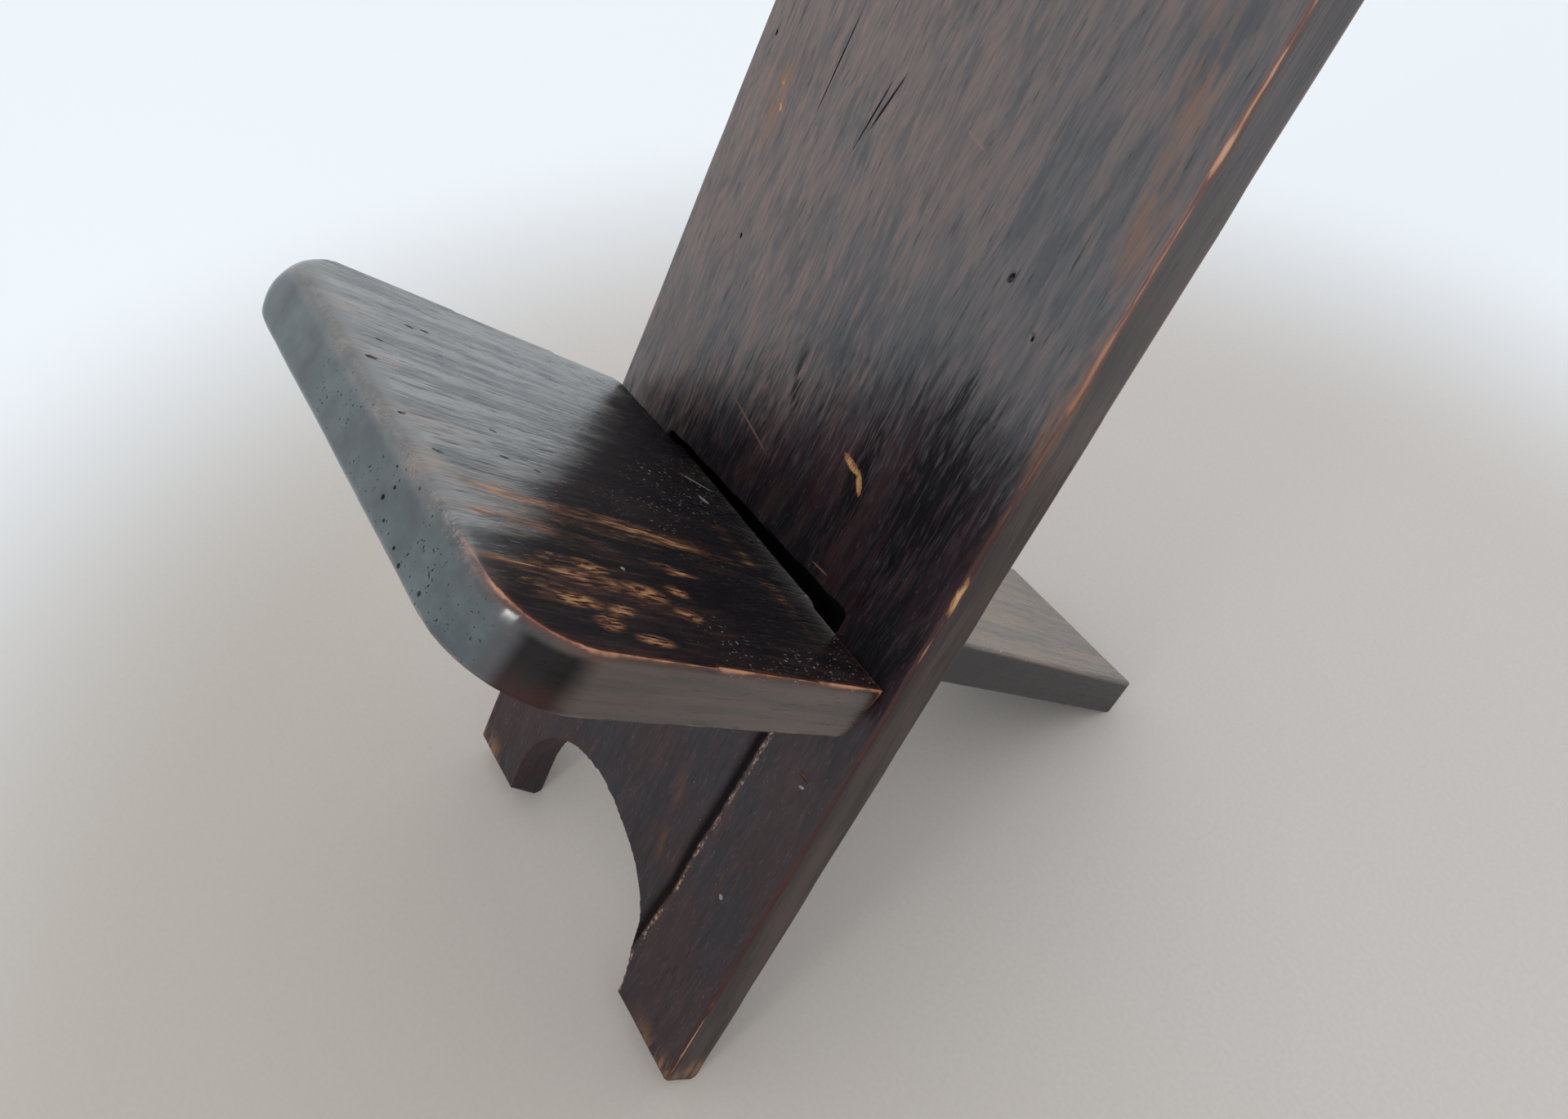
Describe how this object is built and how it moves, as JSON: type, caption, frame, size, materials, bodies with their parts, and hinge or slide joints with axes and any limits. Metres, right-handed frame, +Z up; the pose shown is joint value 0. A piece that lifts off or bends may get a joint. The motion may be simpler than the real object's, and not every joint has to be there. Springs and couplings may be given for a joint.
{
  "type": "two-plank birthing chair",
  "caption": "Low chair of two crossed hardwood planks: a leaning back plank on arched feet, and a sloping seat plank whose tongue passes through a slanted mortise and stands behind.",
  "frame": {"origin": "on the floor, under the middle of the chair's bounding box", "axes": "+Z up; the sitter faces -Y, the back plank leans and the tail runs towards +Y; left and right are as seen from the front, so right is +X"},
  "size_m": [0.3004, 0.5142, 0.7413],
  "materials": {
    "back_wood": "dark stained hardwood, oiled and handled to a satin gloss, worn to orange-brown along its arrises",
    "seat_wood": "dark stained hardwood, polished by use, with fine orange streaks along the grain and small pits"
  },
  "bodies": {
    "back_plank": {"back_plank": "back_wood"},
    "seat_plank": {"seat_plank": "seat_wood"}
  },
  "joints": [
    {"name": "seat_slide", "type": "slide", "parent": "back_plank", "child": "seat_plank", "axis": [0, -0.7559, 0.6547], "range_m": [0, 0.46]}
  ]
}
